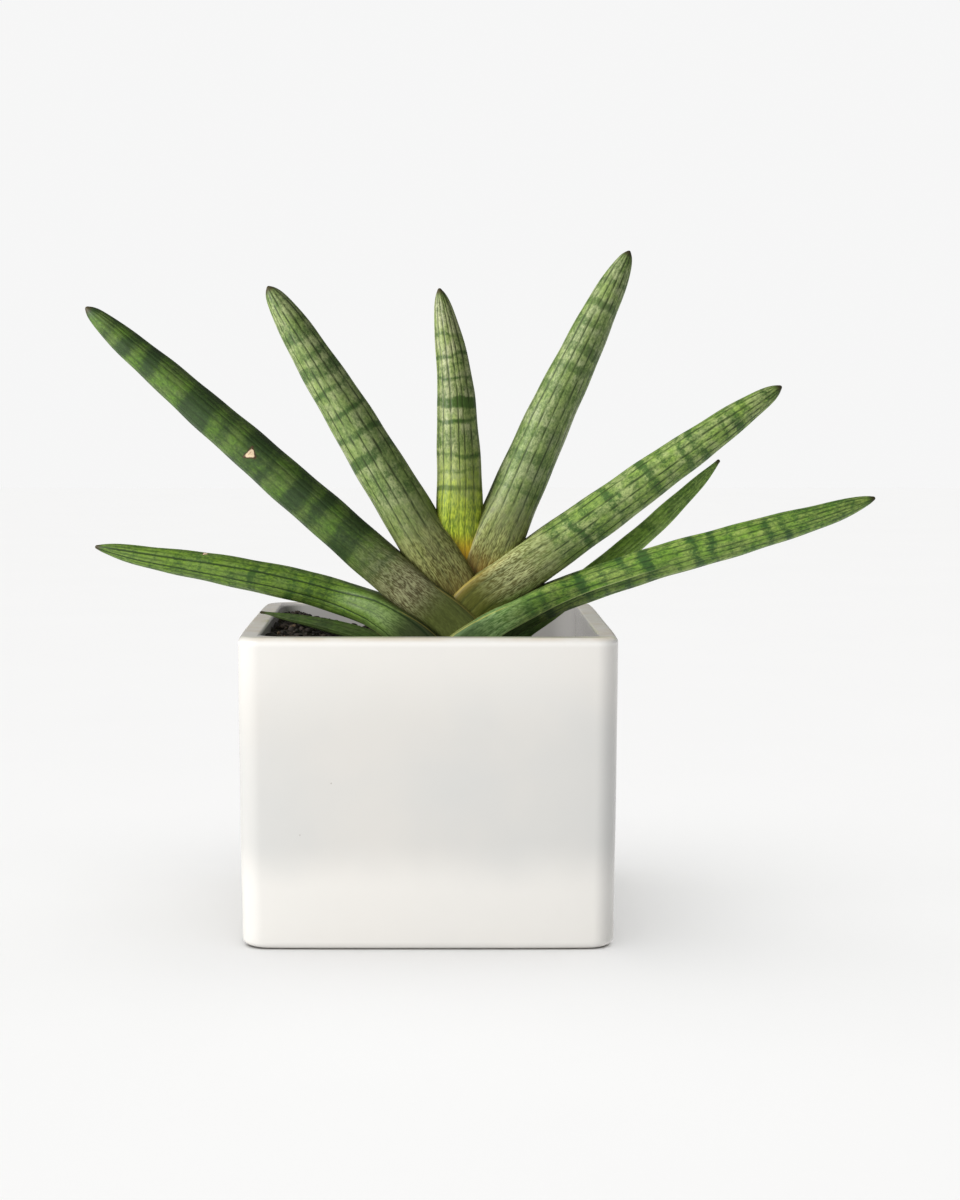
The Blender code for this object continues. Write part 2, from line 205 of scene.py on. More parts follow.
# Fine leaf mesh; distances in millimetres.
RING_STEP = 0.85
TIP_ZONE = 7.0
TIP_RINGS = 26
COLUMNS_PER_LINE = 8
SECTION_SAMPLES = 720
GROOVE_DEPTH = 0.14
GROOVE_WIDTH = 0.42
STRONG_DEPTH = 0.22
STRONG_WIDTH = 0.7
STRONG_PAINT_WIDTH = 0.9
RIDGE_HEIGHT = 0.45
RIDGE_WIDTH = 0.45
RIDGE_SHELF = 1.1
RIDGE_FADE = 25.0
SHEATH_POINTS = 160
BLADE_POINTS = 400
END_SPAN = 8
TANGENT_REACH = 4.0
TIP_OVERRUN = 1.0
TIP_SHARPNESS = 1.1
TIP_CAP = 0.7
TIP_FADE = 6.0
SMALLEST_RADIUS = 0.03
NO_KEEL = -9.0
MARGIN_SEARCH = 5.0
WING_FADE = 6.0
FRONT_CORNER = 0.75 * pi
BACK_CORNER = 0.25 * pi


# ---- numbers

def smoothstep(value):
    value = np.clip(value, 0.0, 1.0)
    return value * value * (3.0 - 2.0 * value)


def mix(start, end, weight):
    return start + (end - start) * weight


def unit(vectors):
    return vectors / np.linalg.norm(vectors, axis=-1, keepdims=True)


def linear(color):
    """Linear RGBA of an sRGB colour given as 0 to 255."""
    share = np.asarray(color, float) / 255.0
    low = share / 12.92
    high = ((share + 0.055) / 1.055) ** 2.4
    return (*np.where(share <= 0.04045, low, high), 1.0)


def waves(first, second, turns, seed):
    """Smooth wander between about -1 and 1, which repeats after a whole turn of first."""
    total = np.zeros(np.broadcast(first, second).shape)
    for number, (around, along) in enumerate(turns):
        phase = 1.7 * seed + 2.1 * number
        total += np.sin(2.0 * pi * around * first + along * second + phase)
    return total / len(turns)


# ---- meshes

def grid_mesh(name, rows):
    """Skin rings of points, in millimetres, and cap both ends; every ring is a closed loop."""
    ring_count, column_count, _ = rows.shape
    points = rows.reshape(-1, 3) * MM
    faces = []
    for ring in range(ring_count - 1):
        start = ring * column_count
        for column in range(column_count):
            after = (column + 1) % column_count
            faces.append((start + column, start + after,
                          start + column_count + after, start + column_count + column))
    faces.append(tuple(reversed(range(column_count))))
    last = (ring_count - 1) * column_count
    faces.append(tuple(range(last, last + column_count)))
    mesh = bpy.data.meshes.new(name)
    mesh.from_pydata(points.tolist(), [], faces)
    face_outwards(mesh)
    mesh.shade_smooth()
    return mesh


def face_outwards(mesh):
    """Flip a closed mesh whose faces look inwards."""
    bm = bmesh.new()
    bm.from_mesh(mesh)
    inward = bm.calc_volume(signed=True) < 0.0
    bm.free()
    if inward:
        mesh.flip_normals()


def paint(mesh, name, values):
    """Keep a number or a vector for each vertex, as a corner attribute that materials read."""
    values = np.asarray(values, np.float32)
    kind = "FLOAT_VECTOR" if values.ndim == 2 else "FLOAT"
    corners = np.empty(len(mesh.loops), np.int32)
    mesh.loops.foreach_get("vertex_index", corners)
    layer = mesh.attributes.new(name, kind, "CORNER")
    field = "vector" if kind == "FLOAT_VECTOR" else "value"
    layer.data.foreach_set(field, values[corners].ravel())


def add_to_scene(name, data):
    thing = bpy.data.objects.new(name, data)
    bpy.context.scene.collection.objects.link(thing)
    return thing


def add_piece(name, mesh, node):
    piece = add_to_scene(name, mesh)
    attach(piece, "root")
    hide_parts(node)
    return piece


# ---- shader graphs

class Graph:
    """Short calls to build a material's nodes."""

    def __init__(self, name):
        self.material = bpy.data.materials.new(name)
        self.material.use_nodes = True
        self.tree = self.material.node_tree
        self.shader = self.tree.nodes["Principled BSDF"]

    def node(self, kind, inputs=(), **settings):
        made = self.tree.nodes.new(kind)
        for key, value in settings.items():
            setattr(made, key, value)
        for socket, value in dict(inputs).items():
            self.put(made.inputs[socket], value)
        return made

    def put(self, socket, value):
        if isinstance(value, bpy.types.NodeSocket):
            self.tree.links.new(value, socket)
        else:
            socket.default_value = value

    def place(self):
        """Object coordinates, which are the frame's, in metres."""
        return self.node("ShaderNodeTexCoord").outputs["Object"]

    def attribute(self, name, output="Fac"):
        return self.node("ShaderNodeAttribute", attribute_name=name).outputs[output]

    def math(self, operation, first, second=0.0, clamp=False):
        settings = {"operation": operation, "use_clamp": clamp}
        return self.node("ShaderNodeMath", {0: first, 1: second}, **settings).outputs[0]

    def plus(self, first, second):
        return self.math("ADD", first, second)

    def minus(self, first, second):
        return self.math("SUBTRACT", first, second)

    def times(self, first, second):
        return self.math("MULTIPLY", first, second)

    def scale(self, vector, factors):
        made = self.node("ShaderNodeVectorMath", {0: vector, 1: factors}, operation="MULTIPLY")
        return made.outputs[0]

    def noise(self, vector, scale=1.0, detail=2.0, roughness=0.5):
        inputs = {"Vector": vector, "Scale": scale, "Detail": detail, "Roughness": roughness}
        return self.node("ShaderNodeTexNoise", inputs).outputs["Fac"]

    def step(self, value, low, high, to_low=0.0, to_high=1.0):
        """Go smoothly from to_low to to_high while value goes from low to high."""
        inputs = {"Value": value, "From Min": low, "From Max": high,
                  "To Min": to_low, "To Max": to_high}
        made = self.node("ShaderNodeMapRange", inputs, interpolation_type="SMOOTHSTEP")
        return made.outputs["Result"]

    def mix(self, weight, first, second):
        inputs = {0: weight, 2: first, 3: second}
        return self.node("ShaderNodeMix", inputs, data_type="FLOAT").outputs[0]

    def blend(self, weight, first, second, mode="MIX"):
        inputs = {0: weight, 6: first, 7: second}
        made = self.node("ShaderNodeMix", inputs, data_type="RGBA", blend_type=mode)
        return made.outputs[2]

    def stain(self, weight, under, color):
        """Lay an sRGB colour over what is there."""
        return self.blend(weight, under, linear(color))

    def bump(self, height, distance, strength=1.0, normal=None):
        inputs = {"Height": height, "Distance": distance, "Strength": strength}
        if normal:
            inputs["Normal"] = normal
        return self.node("ShaderNodeBump", inputs).outputs["Normal"]

    def finish(self, **inputs):
        for socket, value in inputs.items():
            self.put(self.shader.inputs[socket.replace("_", " ")], value)
        return self.material


# ---- leaf shape

def bezier(points, share):
    """Points on a Bezier curve of any order, at an array of shares."""
    layers = [np.asarray(point, float)[None, :] for point in points]
    share = share[:, None]
    while len(layers) > 1:
        layers = [mix(first, second, share) for first, second in zip(layers, layers[1:])]
    return layers[0]


def leaf_path(leaf):
    """Fine centreline from base to tip, and the distance travelled along it."""
    base, neck, tip = (np.array(point, float) for point in (leaf.base, leaf.neck, leaf.tip))
    chord = tip - neck
    lift = unit(np.array([-chord[2], 0.0, chord[0]]))
    if lift[2] < 0.0:
        lift = -lift
    near = neck + chord / 3.0 + lift * leaf.near_bow
    far = neck + chord * (2.0 / 3.0) + lift * leaf.far_bow
    joint_share = leaf.bend / np.linalg.norm(chord)
    joint = bezier([neck, near, far, tip], np.array([joint_share]))[0]
    sheath = bezier([base, neck, joint], np.linspace(0.0, 1.0, SHEATH_POINTS, endpoint=False))
    blade = bezier([neck, near, far, tip], np.linspace(joint_share, 1.0, BLADE_POINTS))
    end = blade[-1] + unit(blade[-1] - blade[-END_SPAN]) * TIP_OVERRUN
    points = np.vstack([sheath, blade, end[None, :]])
    steps = np.linalg.norm(np.diff(points, axis=0), axis=1)
    return points, np.concatenate([[0.0], np.cumsum(steps)])


def blade_radius(leaf, to_tip):
    share = to_tip / leaf.taper
    return leaf.radius * (share / (1.0 + share ** 4) ** 0.25) ** leaf.bluntness


def tip_radius(leaf, to_tip):
    """Blade radius, drawn in towards a small rounded point."""
    body = blade_radius(leaf, np.maximum(to_tip, 0.02)) * to_tip / (to_tip + TIP_SHARPNESS)
    cap = TIP_CAP * np.sqrt(1.0 - (1.0 - np.minimum(to_tip / TIP_CAP, 1.0)) ** 2)
    return np.maximum((body ** 3 + cap ** 3) ** (1.0 / 3.0), SMALLEST_RADIUS)


def section(width, depth, clasp, channel, flat_angles):
    """Fine section of a leaf: points (across, sideways) from the middle of its lower face."""
    sine = np.sin(flat_angles)
    cosine = np.cos(flat_angles)
    squareness = np.where(sine > 0.0, WING_SQUARENESS, BACK_SQUARENESS)
    power = 2.0 / mix(2.0, squareness, clasp)
    across = np.abs(sine) ** power * np.sign(sine)
    sideways = np.abs(cosine) ** power * np.sign(cosine)
    across = np.where(across > 0.0, across * (1.0 - CHANNEL_PRESS * channel), across)
    return across * width, sideways * depth


def along_path(path, marks, travelled):
    return np.stack([np.interp(travelled, marks, path[:, axis]) for axis in range(3)], axis=1)


def ring_places(length):
    """Distances from the base where rings stand, closer and closer towards the tip."""
    straight = np.linspace(0.0, length - TIP_ZONE, int((length - TIP_ZONE) / RING_STEP))
    closing = length - TIP_ZONE * (1.0 - np.linspace(0.0, 1.0, TIP_RINGS + 1)[1:]) ** 2
    return np.concatenate([straight, closing])


def ring_axes(leaf, path, marks, travelled):
    """Each ring's centre, and its directions to the leaf's upper side and to the back."""
    ahead = np.minimum(travelled + TANGENT_REACH, marks[-1])
    behind = np.maximum(travelled - TANGENT_REACH, 0.0)
    tangents = unit(along_path(path, marks, ahead) - along_path(path, marks, behind))
    back = unit(np.array([0.0, 1.0, 0.0]) - tangents * tangents[:, 1:2])
    return along_path(path, marks, travelled), np.cross(tangents, back) * -leaf.side, back


def turn_gap(turn, place):
    """How far round a point is from a place, in turns, from -0.5 to 0.5."""
    return np.mod(turn - place + 0.5, 1.0) - 0.5


def line_offset(leaf, turn, girth):
    """Distance round the leaf to the nearest of its evenly spaced lines."""
    return turn_gap(turn * leaf.lines, 0.0) * girth / leaf.lines


def on_line(leaf, place):
    return round(place * leaf.lines) / leaf.lines


def skin_relief(leaf, turn, girth, travelled, to_tip, seed):
    """How far one ring's skin stands out: slow swelling, grooves, and the ridge's step."""
    groove = np.exp(-(line_offset(leaf, turn, girth) / GROOVE_WIDTH) ** 2) * GROOVE_DEPTH
    for strong in leaf.strong_lines:
        apart = turn_gap(turn, on_line(leaf, strong))
        groove += np.exp(-(apart * girth / STRONG_WIDTH) ** 2) * STRONG_DEPTH
    if leaf.ridge:
        beyond = turn - leaf.ridge
        keel = RIDGE_HEIGHT * np.exp(-(beyond * girth / RIDGE_WIDTH) ** 2)
        # Beyond the ridge the skin steps down, and comes back within a sixth of a turn.
        shelf = smoothstep(beyond / 0.012) * (1.0 - smoothstep((beyond - 0.03) / 0.15))
        present = smoothstep((to_tip - leaf.ridge_from) / RIDGE_FADE)
        groove = groove + present * (RIDGE_SHELF * shelf - keel)
    swell = 0.10 * np.sin(travelled / 6.3 + seed + 2.0 * pi * turn)
    swell = swell + 0.08 * np.sin(travelled / 3.1 + 3.0 * seed - 4.0 * pi * turn)
    return (swell - groove) * smoothstep(to_tip / TIP_FADE)


def leaf_surface(leaf):
    """Rings of points, and for every point its share of the turn and its distances."""
    path, marks = leaf_path(leaf)
    travelled = ring_places(marks[-1])
    to_tip = marks[-1] - travelled
    centers, upper, back = ring_axes(leaf, path, marks, travelled)
    radius = tip_radius(leaf, to_tip)
    narrow = smoothstep(1.0 - travelled / (SHEATH_NARROWING * leaf.sheath_reach))
    clasp = smoothstep(2.0 * (1.0 - travelled / leaf.sheath_reach))
    width = mix(radius, leaf.sheath_width, narrow)
    depth = mix(radius * leaf.flatness, leaf.sheath_depth, clasp)
    channel = leaf.channel * (1.0 - narrow)
    twist = radians(leaf.twist)
    columns = leaf.lines * COLUMNS_PER_LINE
    turn = np.arange(columns) / columns
    flat_angles = -pi / 2.0 + 2.0 * pi * np.arange(SECTION_SAMPLES + 1) / SECTION_SAMPLES
    seed = len(leaf.name) + leaf.radius
    # The lines stray a little from even spacing.
    wander = 0.011 * np.sin(6.0 * pi * turn + seed) + 0.007 * np.sin(10.0 * pi * turn + 2.0 * seed)
    rows = np.empty((len(travelled), columns, 3))
    wing = np.empty((len(travelled), columns))
    girths = np.empty(len(travelled))
    for index, center in enumerate(centers):
        across, sideways = section(width[index], depth[index], clasp[index], channel[index],
                                   flat_angles)
        hops = np.hypot(np.diff(across), np.diff(sideways))
        around = np.concatenate([[0.0], np.cumsum(hops)])
        girths[index] = around[-1]
        drift = 0.004 * np.sin(travelled[index] / 21.0 + seed)
        place = np.mod(turn + wander + drift, 1.0) * around[-1]
        corners = np.interp([BACK_CORNER, FRONT_CORNER], flat_angles, around)
        to_corner = np.abs(place[:, None] - corners[None, :]).min(axis=1)
        wing[index] = to_corner + WING_FADE * (1.0 - clasp[index])
        across = np.interp(place, around, across)
        sideways = np.interp(place, around, sideways)
        size = np.hypot(across, sideways)
        lift = skin_relief(leaf, turn, girths[index], travelled[index], to_tip[index], seed)
        stretch = 1.0 + lift / np.maximum(size, 0.5)
        across = across * stretch
        sideways = sideways * stretch
        turned_across = across * np.cos(twist) - sideways * np.sin(twist)
        turned_sideways = across * np.sin(twist) + sideways * np.cos(twist)
        rows[index] = center + turned_across[:, None] * upper[index] \
            + turned_sideways[:, None] * back[index]
    return rows, turn, travelled, to_tip, girths, wing


def band_strength(leaf, turn, to_tip):
    """How dark the cross-bands are at each point; their edges wander round the leaf."""
    seed = leaf.radius + 0.1 * leaf.sheath_reach
    wobble = 0.9 * waves(turn, to_tip, ((1, 0.05), (2, -0.09), (4, 0.13)), seed)
    total = np.zeros(turn.shape)
    for number, (place, half_width, strength) in enumerate(leaf.bands):
        slant = 0.8 * np.sin(2.0 * pi * turn + number * 2.4 + seed)
        apart = np.abs(to_tip + wobble + slant - place)
        local = strength * (1.0 + 0.25 * np.sin(4.0 * pi * turn + number * 1.9))
        edge = smoothstep((apart - half_width) / leaf.softness + 0.5)
        total = np.maximum(total, local * (1.0 - edge))
    return total


def scar_depth(leaf, turn, to_tip, girth):
    """Distance inside a three-cornered scar, in scar sizes; below zero outside."""
    inside = np.full(turn.shape, -3.0)
    for place, at_turn, size in leaf.scars:
        along = (to_tip - place) / size
        aside = turn_gap(turn, at_turn) * girth / size
        edge = np.maximum(0.5 * along + 0.87 * aside, 0.5 * along - 0.87 * aside)
        inside = np.maximum(inside, 1.0 - np.maximum(-along, edge))
    return inside


def near_inner(mesh, count, inner_trees):
    """Signed distance, in millimetres, from the sheath's vertices to the leaves that it clasps."""
    distances = np.full(len(mesh.vertices), MARGIN_SEARCH, np.float32)
    for index in range(count):
        vertex = mesh.vertices[index]
        for tree in inner_trees:
            spot, normal, _, distance = tree.find_nearest(vertex.co, MARGIN_SEARCH * MM)
            if spot is None:
                continue
            sign = 1.0 if (vertex.co - spot).dot(normal) >= 0.0 else -1.0
            distances[index] = min(distances[index], sign * distance / MM)
    return distances


def make_leaf(leaf, inner_trees):
    rows, turn, travelled, to_tip, girths, wing = leaf_surface(leaf)
    mesh = grid_mesh(leaf.name + "_blade", rows)
    turns = np.broadcast_to(turn, wing.shape)
    tips = np.broadcast_to(to_tip[:, None] - TIP_OVERRUN, wing.shape)
    girth = np.broadcast_to(girths[:, None], wing.shape)
    angle = 2.0 * pi * turns
    radius = girth / (2.0 * pi)
    grain = np.stack([radius * np.cos(angle), radius * np.sin(angle), tips], axis=-1)
    strong = np.zeros(wing.shape)
    for place in leaf.strong_lines:
        apart = np.abs(turn_gap(turns, on_line(leaf, place))) * girth
        strong = np.maximum(strong, np.clip(1.0 - apart / STRONG_PAINT_WIDTH, 0.0, 1.0))
    sheath_count = int(np.sum(travelled < leaf.sheath_reach)) * len(turn)
    layers = {
        "band": band_strength(leaf, turns, tips),
        "line_gap": np.abs(line_offset(leaf, turns, girth)),
        "strong_line": strong,
        "from_tip": tips,
        "scar": scar_depth(leaf, turns, tips, girth),
        "margin": near_inner(mesh, sheath_count, inner_trees),
        "wing": wing,
    }
    if leaf.ridge:
        layers["keel"] = np.where(tips > leaf.ridge_from, (turns - leaf.ridge) * girth, NO_KEEL)
    paint(mesh, "grain", grain.reshape(-1, 3))
    for name, values in layers.items():
        paint(mesh, name, values.ravel())
    mesh.materials.append(leaf_material(leaf))
    return add_piece(leaf.name + "_blade", mesh, leaf.name)


# ---- leaf material

# Each noise: how often it repeats per millimetre across and along the leaf, detail, roughness.
LEAF_NOISES = {
    "cells": ((0.36, 0.36, 0.25), 2.0, 0.6),
    "specks": ((1.15, 1.15, 0.8), 3.0, 0.75),
    "streaks": ((0.9, 0.9, 0.05), 2.0, 0.6),
    "flecks": ((2.7, 2.7, 0.5), 1.0, 0.6),
    "clouds": ((0.10, 0.10, 0.06), 1.0, 0.5),
    "hue": ((0.22, 0.22, 0.12), 2.0, 0.6),
    "broken": ((0.9, 0.9, 0.16), 2.0, 0.7),
}
DARKNESS = 0.36
UNEVEN_BASE = 16.0
MARGIN_WIDTH = 0.5
# Painted highlight along a leaf's ridge.
RIDGE_HIGHLIGHT = (176, 196, 124)
DRY_TIP = (62, 54, 34)
# A scar's rings from its rim to its middle: where each one begins and is full, and its colour.
SCAR_RINGS = ((-0.35, 0.0, (70, 50, 32)), (0.02, 0.25, (222, 200, 168)),
              (0.66, 0.9, (150, 104, 74)))


def leaf_material(leaf):
    graph = Graph(leaf.name + "_skin")
    grain = graph.attribute("grain", "Vector")
    noises = {name: graph.noise(graph.scale(grain, repeats), detail=detail, roughness=roughness)
              for name, (repeats, detail, roughness) in LEAF_NOISES.items()}
    noises["rough_cells"] = graph.minus(noises["cells"], 0.5)
    noises["rough_specks"] = graph.minus(noises["specks"], 0.5)
    from_tip = graph.attribute("from_tip")
    color, pattern = leaf_ground(graph, leaf, noises, from_tip)
    color = leaf_lines(graph, leaf, noises, from_tip, color)
    if leaf.ridge:
        color = paint_ridge_light(graph, leaf, from_tip, color)
    color = leaf_edges(graph, leaf, noises, from_tip, color)
    roughness = graph.step(pattern, -0.4, 0.4, 0.42, 0.54)
    relief = graph.plus(graph.times(noises["cells"], 0.7), graph.times(noises["specks"], 0.3))
    normal = graph.bump(relief, 0.2 * MM, 0.6)
    return graph.finish(Base_Color=color, Roughness=roughness, Normal=normal,
                        Specular_IOR_Level=0.25)


def leaf_ground(graph, leaf, noises, from_tip):
    """Colour of mottling, cross-bands and streaked base, and the pattern that gloss follows."""
    cells, specks, flecks = noises["rough_cells"], noises["rough_specks"], noises["flecks"]
    uneven_tip = graph.plus(from_tip, graph.times(cells, UNEVEN_BASE))
    at_base = graph.step(uneven_tip, leaf.base_from - 12.0, leaf.base_to + 4.0)
    at_root = graph.step(from_tip, leaf.root_from, leaf.root_to)

    # Mottling: small cells on the blade, long flecks towards the base.
    near_base = graph.step(from_tip, leaf.base_from - 10.0, leaf.base_from + 20.0)
    fine = graph.plus(graph.times(cells, 1.2), graph.times(specks, 3.0))
    fine = graph.plus(fine, graph.times(graph.minus(noises["clouds"], 0.5), 1.2))
    pattern = graph.mix(near_base, fine, graph.times(graph.minus(flecks, 0.5), 2.6))
    mottled = graph.step(graph.plus(pattern, DARKNESS), -0.12, 1.0, 0.0, leaf.mottle)
    mottled = graph.times(mottled, graph.step(at_base, 0.0, 1.0, 1.0, 0.15))

    # Cross-bands with ragged edges, weaker on the base.
    uneven = graph.plus(graph.times(specks, 2.0 * leaf.raggedness),
                        graph.times(cells, 0.7 * leaf.raggedness))
    ring = graph.plus(graph.attribute("band"), uneven)
    ring = graph.step(ring, -0.05, 1.05, 0.0, leaf.band_gain)
    ring = graph.times(ring, graph.step(at_base, 0.0, 1.0, 1.0, 0.45))
    clear = graph.times(graph.minus(1.0, mottled), graph.minus(1.0, ring))
    darkness = graph.math("SUBTRACT", 1.0, clear, True)

    pale = graph.stain(graph.step(noises["hue"], 0.38, 0.64), linear(leaf.pale), leaf.fresh)
    dappled = graph.step(graph.plus(flecks, graph.times(cells, 0.25)), 0.33, 0.67)
    base = graph.stain(dappled, linear(leaf.base_color), leaf.base_streak)
    color = graph.stain(darkness, graph.blend(at_base, pale, base), leaf.dark)
    color = graph.stain(at_root, color, leaf.root_color)
    shade = graph.times(graph.step(noises["streaks"], 0.36, 0.64, 0.94, 1.05),
                        graph.step(flecks, 0.34, 0.66, 0.86, 1.13))
    grey = graph.node("ShaderNodeCombineColor", {0: shade, 1: shade, 2: shade}).outputs[0]
    return graph.blend(1.0, color, grey, "MULTIPLY"), pattern


def leaf_lines(graph, leaf, noises, from_tip, color):
    """Sunken lines along the leaf, ragged and broken, and the few strong ones."""
    jitter = graph.times(noises["rough_specks"], 0.5)
    drawn = graph.step(graph.plus(graph.attribute("line_gap"), jitter), 0.12, 0.50, 1.0, 0.0)
    fading = graph.step(noises["broken"], 0.36, 0.58, 0.25, 1.0)
    strength = graph.times(graph.times(drawn, fading), 0.9 * leaf.line_gain)
    fade_out = graph.step(from_tip, leaf.base_from, leaf.base_to, 1.0, 0.4)
    color = graph.stain(graph.math("MULTIPLY", strength, fade_out, True), color, leaf.line)
    bold = graph.plus(graph.attribute("strong_line"), jitter)
    return graph.stain(graph.step(bold, 0.35, 0.8, 0.0, 0.8), color, leaf.line)


def paint_ridge_light(graph, leaf, from_tip, color):
    """Painted highlight: a pale line along the ridge's crest; painted shade: a dark line beneath
    it.
    """
    keel = graph.attribute("keel")
    present = graph.step(from_tip, leaf.ridge_from, leaf.ridge_from + 32.0)
    # Painted shade: a dark line below the ridge, where the underside turns away from the light.
    shade_beneath = graph.times(graph.step(keel, 0.2, 0.7), graph.step(keel, 1.0, 2.2, 0.65, 0.3))
    color = graph.stain(graph.times(shade_beneath, present), color, leaf.line)
    # Painted highlight: a pale line along the ridge's crest.
    crest_highlight = graph.times(graph.step(keel, -0.6, -0.1), graph.step(keel, 0.0, 0.5, 0.8, 0.0))
    return graph.stain(graph.times(crest_highlight, present), color, RIDGE_HIGHLIGHT)


def leaf_edges(graph, leaf, noises, from_tip, color):
    """The sheath's margin against the inner leaves, the dry tip and the scars."""
    wing = graph.attribute("wing")
    if leaf.glow:
        glow = graph.step(wing, 0.0, leaf.glow_width, leaf.glow, 0.0)
        color = graph.stain(glow, color, leaf.glow_color)
    edge = graph.math("MINIMUM", graph.attribute("margin"), wing)
    rim = graph.step(edge, MARGIN_WIDTH * 0.4, MARGIN_WIDTH, leaf.margin, 0.0)
    color = graph.stain(rim, color, leaf.margin_color)
    dry = graph.plus(from_tip, graph.times(noises["specks"], 1.6))
    color = graph.stain(graph.step(dry, 0.6, 3.0, 0.9, 0.0), color, DRY_TIP)
    wound = graph.plus(graph.attribute("scar"), graph.times(noises["rough_specks"], 0.7))
    for low, high, tone in SCAR_RINGS:
        color = graph.stain(graph.step(wound, low, high), color, tone)
    return color


# ---- pot

# Sizes in millimetres.
POT_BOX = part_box("pot")
POT_HEIGHT = POT_BOX[1].z / MM
POT_HALF_WIDTH = POT_BOX[1].x / MM
POT_TAPER = 0.8
POT_BELLY = 0.5
POT_FLOOR = 8.0
WALL = 7.0
OUTER_CORNER = 8.0
INNER_CORNER = 9.0
FOOT_ROUNDING = 3.0
RIM_ROUNDING = 2.0
LIP_ROUNDING = 1.2
FLOOR_FILLET = 6.0
INNER_HALF_WIDTH = POT_HALF_WIDTH - POT_BELLY - WALL
CORNER_STEPS = 18
SIDE_STEPS = 56
UNDERSIDE_RINGS = 12
FOOT_STEPS = 10
OUTER_RINGS = 46
RIM_STEPS = 12
LIP_STEPS = 8
INNER_RINGS = 30
FILLET_STEPS = 6
UNEVENNESS = 0.10
LEVEL_FOOT = 12.0

# Glaze and clay colours, sRGB, and the heights in millimetres where they change.
GLAZE_TONES = ((226, 224, 220), (220, 220, 218))
# Painted reflection of the floor on the lower outside.
FLOOR_REFLECTION_TONE = (246, 244, 240)
UPPER_GLAZE = (242, 240, 236)
# Painted highlight along the rounded top edge.
EDGE_HIGHLIGHT = (248, 247, 244)
# Painted shade of the pot's inside.
INSIDE_SHADE = (182, 180, 180)
CREAM_CLAY = (232, 218, 198)
FOOT_CLAY = ((206, 196, 180), (182, 170, 152))
PINHOLE = (152, 144, 132)
GLAZE_DRIFT = 9.0
# Heights of the painted floor reflection.
FLOOR_REFLECTION_BAND = (24.0, 44.0)
UPPER = (76.0, 112.0)
# Heights of the painted highlight along the top edge.
EDGE_HIGHLIGHT_BAND = (POT_HEIGHT - 3.4, POT_HEIGHT - 1.6)
RIM = (POT_HEIGHT - 1.6, POT_HEIGHT - 0.1)
FOOT = (0.15, 0.5)


def square_ring(half, corner, height, belly=0.0):
    """Rounded square at one height, with slightly swollen sides."""
    straight = half - corner
    angles = np.linspace(0.0, pi / 2.0, CORNER_STEPS + 1)
    bend = straight + corner * np.stack([np.cos(angles), np.sin(angles)], axis=1)
    along = 1.0 - 2.0 * np.arange(1, SIDE_STEPS) / SIDE_STEPS
    side = np.stack([straight * along, half + belly * (1.0 - along ** 6)], axis=1)
    quarter = np.vstack([bend, side])
    points = []
    for turn in range(4):
        cosine, sine = round(np.cos(turn * pi / 2)), round(np.sin(turn * pi / 2))
        points.append(quarter @ np.array([[cosine, sine], [-sine, cosine]]))
    flat = np.vstack(points)
    return np.column_stack([flat, np.full(len(flat), height)])


def arc(center, radius, start, end, steps):
    angles = np.radians(np.linspace(start, end, steps + 1))
    return [(center[0] + radius * np.cos(angle), center[1] + radius * np.sin(angle))
            for angle in angles]


def outer_half_width(height):
    return POT_HALF_WIDTH - POT_BELLY - POT_TAPER * (1.0 - height / POT_HEIGHT) ** 2


def pot_rows():
    """Rings from the middle of the underside, up the outside and down the inside."""
    foot = outer_half_width(FOOT_ROUNDING) - FOOT_ROUNDING
    rim = outer_half_width(POT_HEIGHT) - RIM_ROUNDING
    rim_start, lip_start = POT_HEIGHT - RIM_ROUNDING, POT_HEIGHT - LIP_ROUNDING
    bottom = POT_FLOOR + FLOOR_FILLET
    rings = [square_ring(foot * share, OUTER_CORNER * share, 0.0, POT_BELLY * share)
             for share in np.linspace(0.1, 0.95, UNDERSIDE_RINGS)]
    outside = arc((foot, FOOT_ROUNDING), FOOT_ROUNDING, -90, 0, FOOT_STEPS)
    outside += [(outer_half_width(height), height)
                for height in np.linspace(FOOT_ROUNDING, rim_start, OUTER_RINGS)[1:-1]]
    outside += arc((rim, rim_start), RIM_ROUNDING, 0, 90, RIM_STEPS)
    rings += [square_ring(half, OUTER_CORNER, height, POT_BELLY) for half, height in outside]
    inside = arc((INNER_HALF_WIDTH + LIP_ROUNDING, lip_start), LIP_ROUNDING, 90, 180, LIP_STEPS)
    inside += [(INNER_HALF_WIDTH, height)
               for height in np.linspace(lip_start, bottom, INNER_RINGS)[1:-1]]
    inside += arc((INNER_HALF_WIDTH - FLOOR_FILLET, bottom), FLOOR_FILLET, 0, -90, FILLET_STEPS)
    rings += [square_ring(half, INNER_CORNER, height) for half, height in inside]
    return np.stack(rings)


def soften(rows):
    """Slight unevenness of cast and glazed clay, which leaves the foot flat."""
    x, y, z = rows[..., 0], rows[..., 1], rows[..., 2]
    wave = np.sin(x * 0.071 + 1.3) * np.sin(z * 0.083 + 0.4)
    wave = wave + np.sin(y * 0.064 + 2.0) * np.sin(z * 0.12 + x * 0.03)
    push = -UNEVENNESS * (1.0 + 0.5 * wave) * smoothstep(z / LEVEL_FOOT)
    flat = rows[..., :2]
    out = flat / np.maximum(np.linalg.norm(flat, axis=-1, keepdims=True), 1.0)
    rows = rows.copy()
    rows[..., :2] += out * push[..., None]
    return rows


